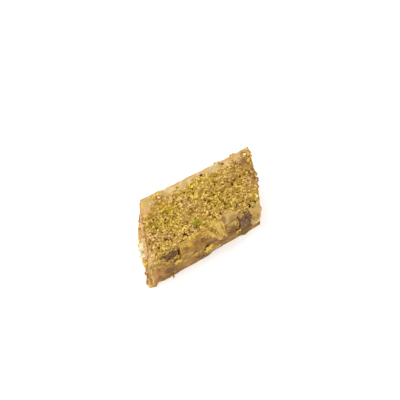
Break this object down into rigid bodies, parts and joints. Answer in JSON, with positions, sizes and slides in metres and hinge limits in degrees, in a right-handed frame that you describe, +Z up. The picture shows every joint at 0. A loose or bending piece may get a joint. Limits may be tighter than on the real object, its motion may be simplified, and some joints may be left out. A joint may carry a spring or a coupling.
{
  "type": "baklava piece",
  "caption": "Parallelogram piece of layered pastry with a chopped-nut filling, ground pistachio on top and torn leaves over its front; a food prop that rests flat.",
  "frame": {"origin": "centre of the bounding box, on the surface that the piece lies on", "axes": "+X along the long sides, +Y from the front with the torn leaves to the back, +Z up"},
  "size_m": [0.076, 0.0372, 0.02],
  "materials": {
    "bottom_pastry": "thin baked leaves stuck together and glazed with syrup",
    "nut_filling": "moist brown mash with chopped pistachios",
    "top_pastry": "golden leaves under a mat of ground pistachio, damp with syrup"
  },
  "bodies": {
    "root": {"bottom_pastry": "bottom_pastry", "nut_filling": "nut_filling", "top_pastry": "top_pastry"}
  },
  "joints": []
}
